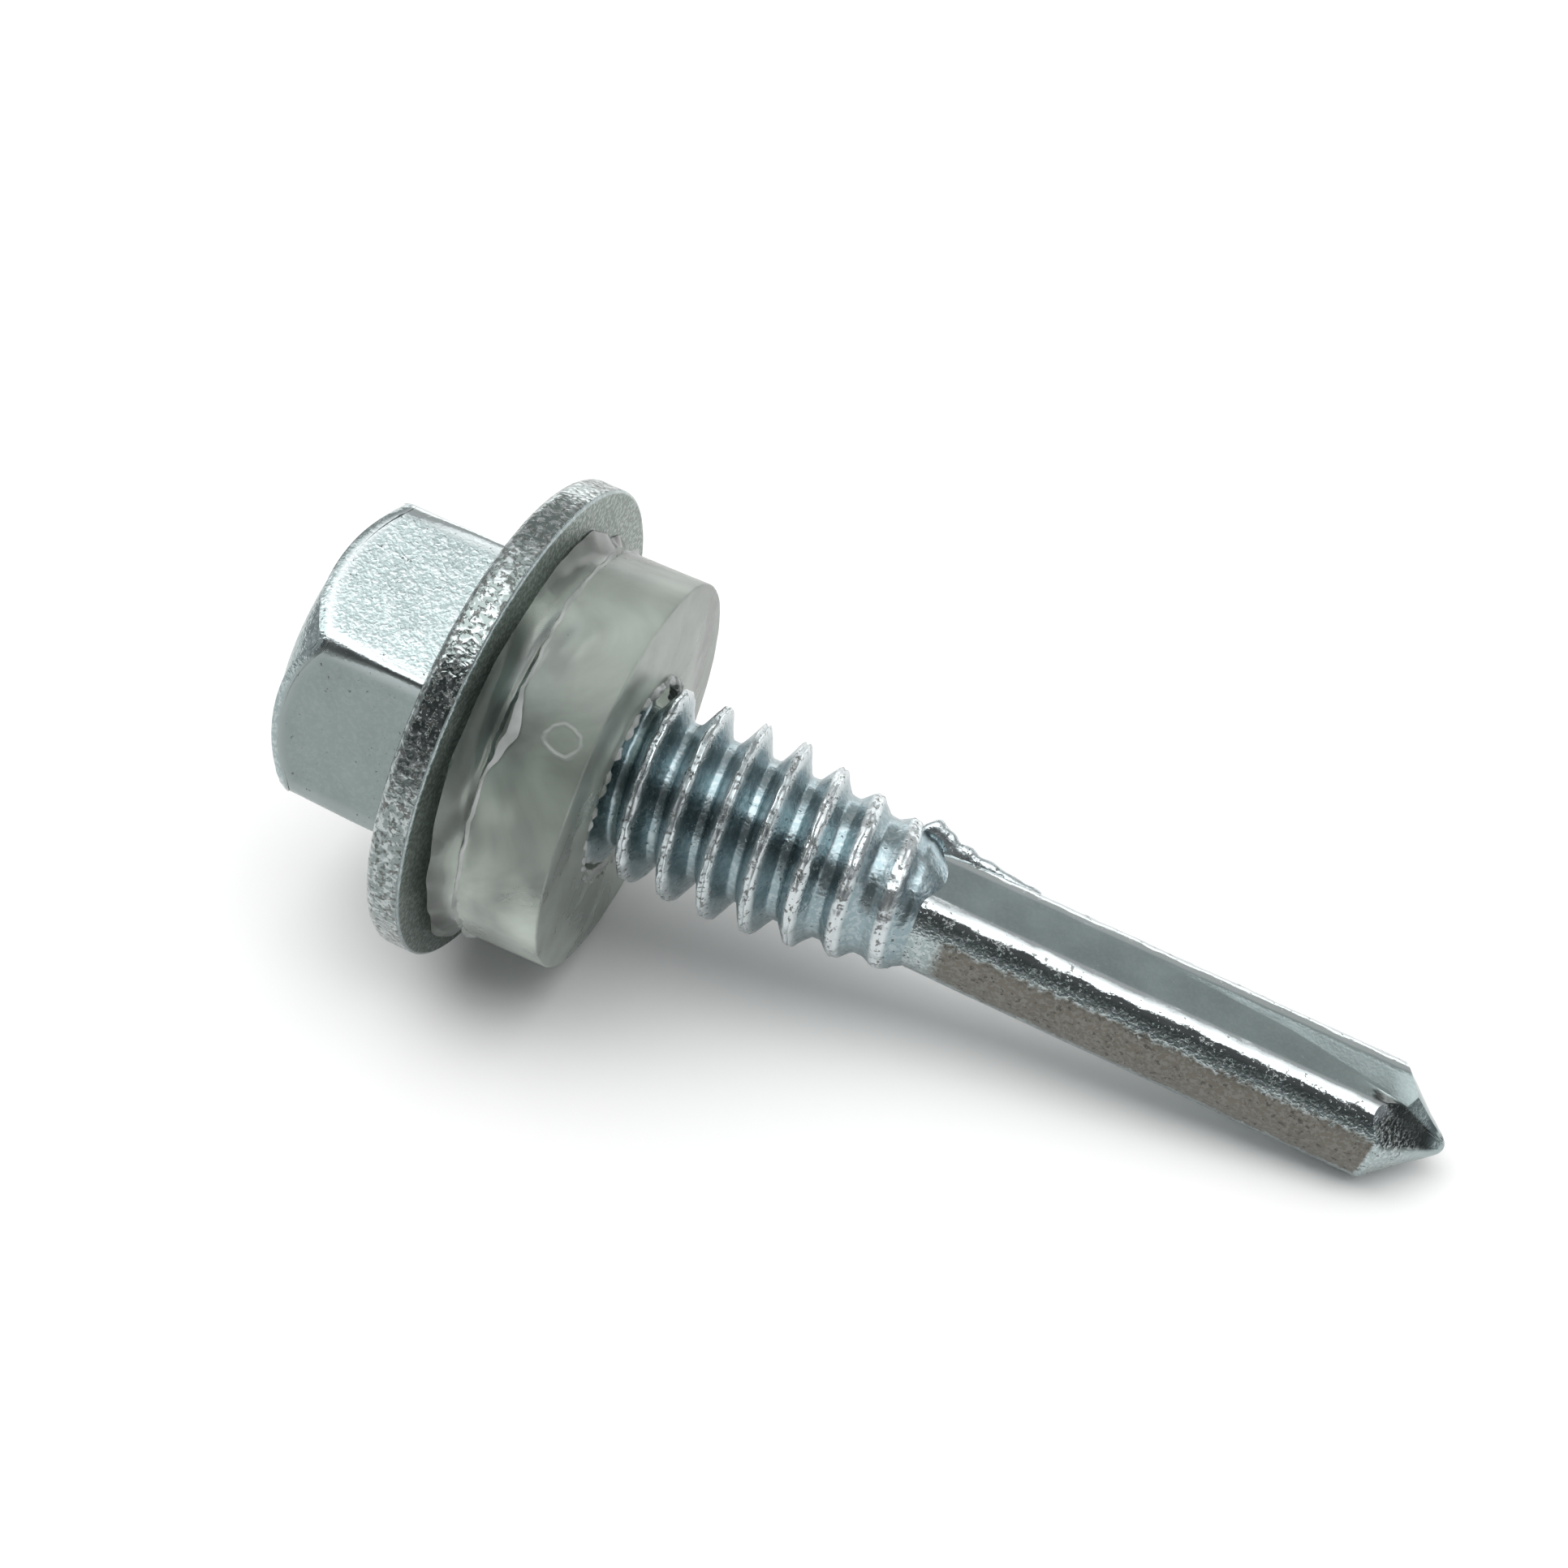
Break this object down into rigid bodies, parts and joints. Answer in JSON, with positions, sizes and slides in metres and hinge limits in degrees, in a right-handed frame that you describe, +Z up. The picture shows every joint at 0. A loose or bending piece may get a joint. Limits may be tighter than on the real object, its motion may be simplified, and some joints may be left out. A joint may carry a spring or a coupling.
{
  "type": "self drilling screw",
  "caption": "Zinc-plated hex flange head self drilling screw with a long drill point and a translucent moulded sealing washer, lying at rest.",
  "frame": {"origin": "under the middle of the part's box, on the surface that it lies on", "axes": "+Z up, +X from the head to the drill tip, level; the screw's axis dips 12.57 degrees below +X because the flange is wider than the drill"},
  "size_m": [0.0308, 0.0132, 0.0131],
  "materials": {
    "screw": "bright blue-white zinc plate on carbon steel, grainy on the rolled thread and the drill lands",
    "sealing_washer": "milky grey-green translucent soft PVC, lightly glossy, with mould flash"
  },
  "bodies": {
    "root": {"screw": "screw", "sealing_washer": "sealing_washer"}
  },
  "joints": []
}
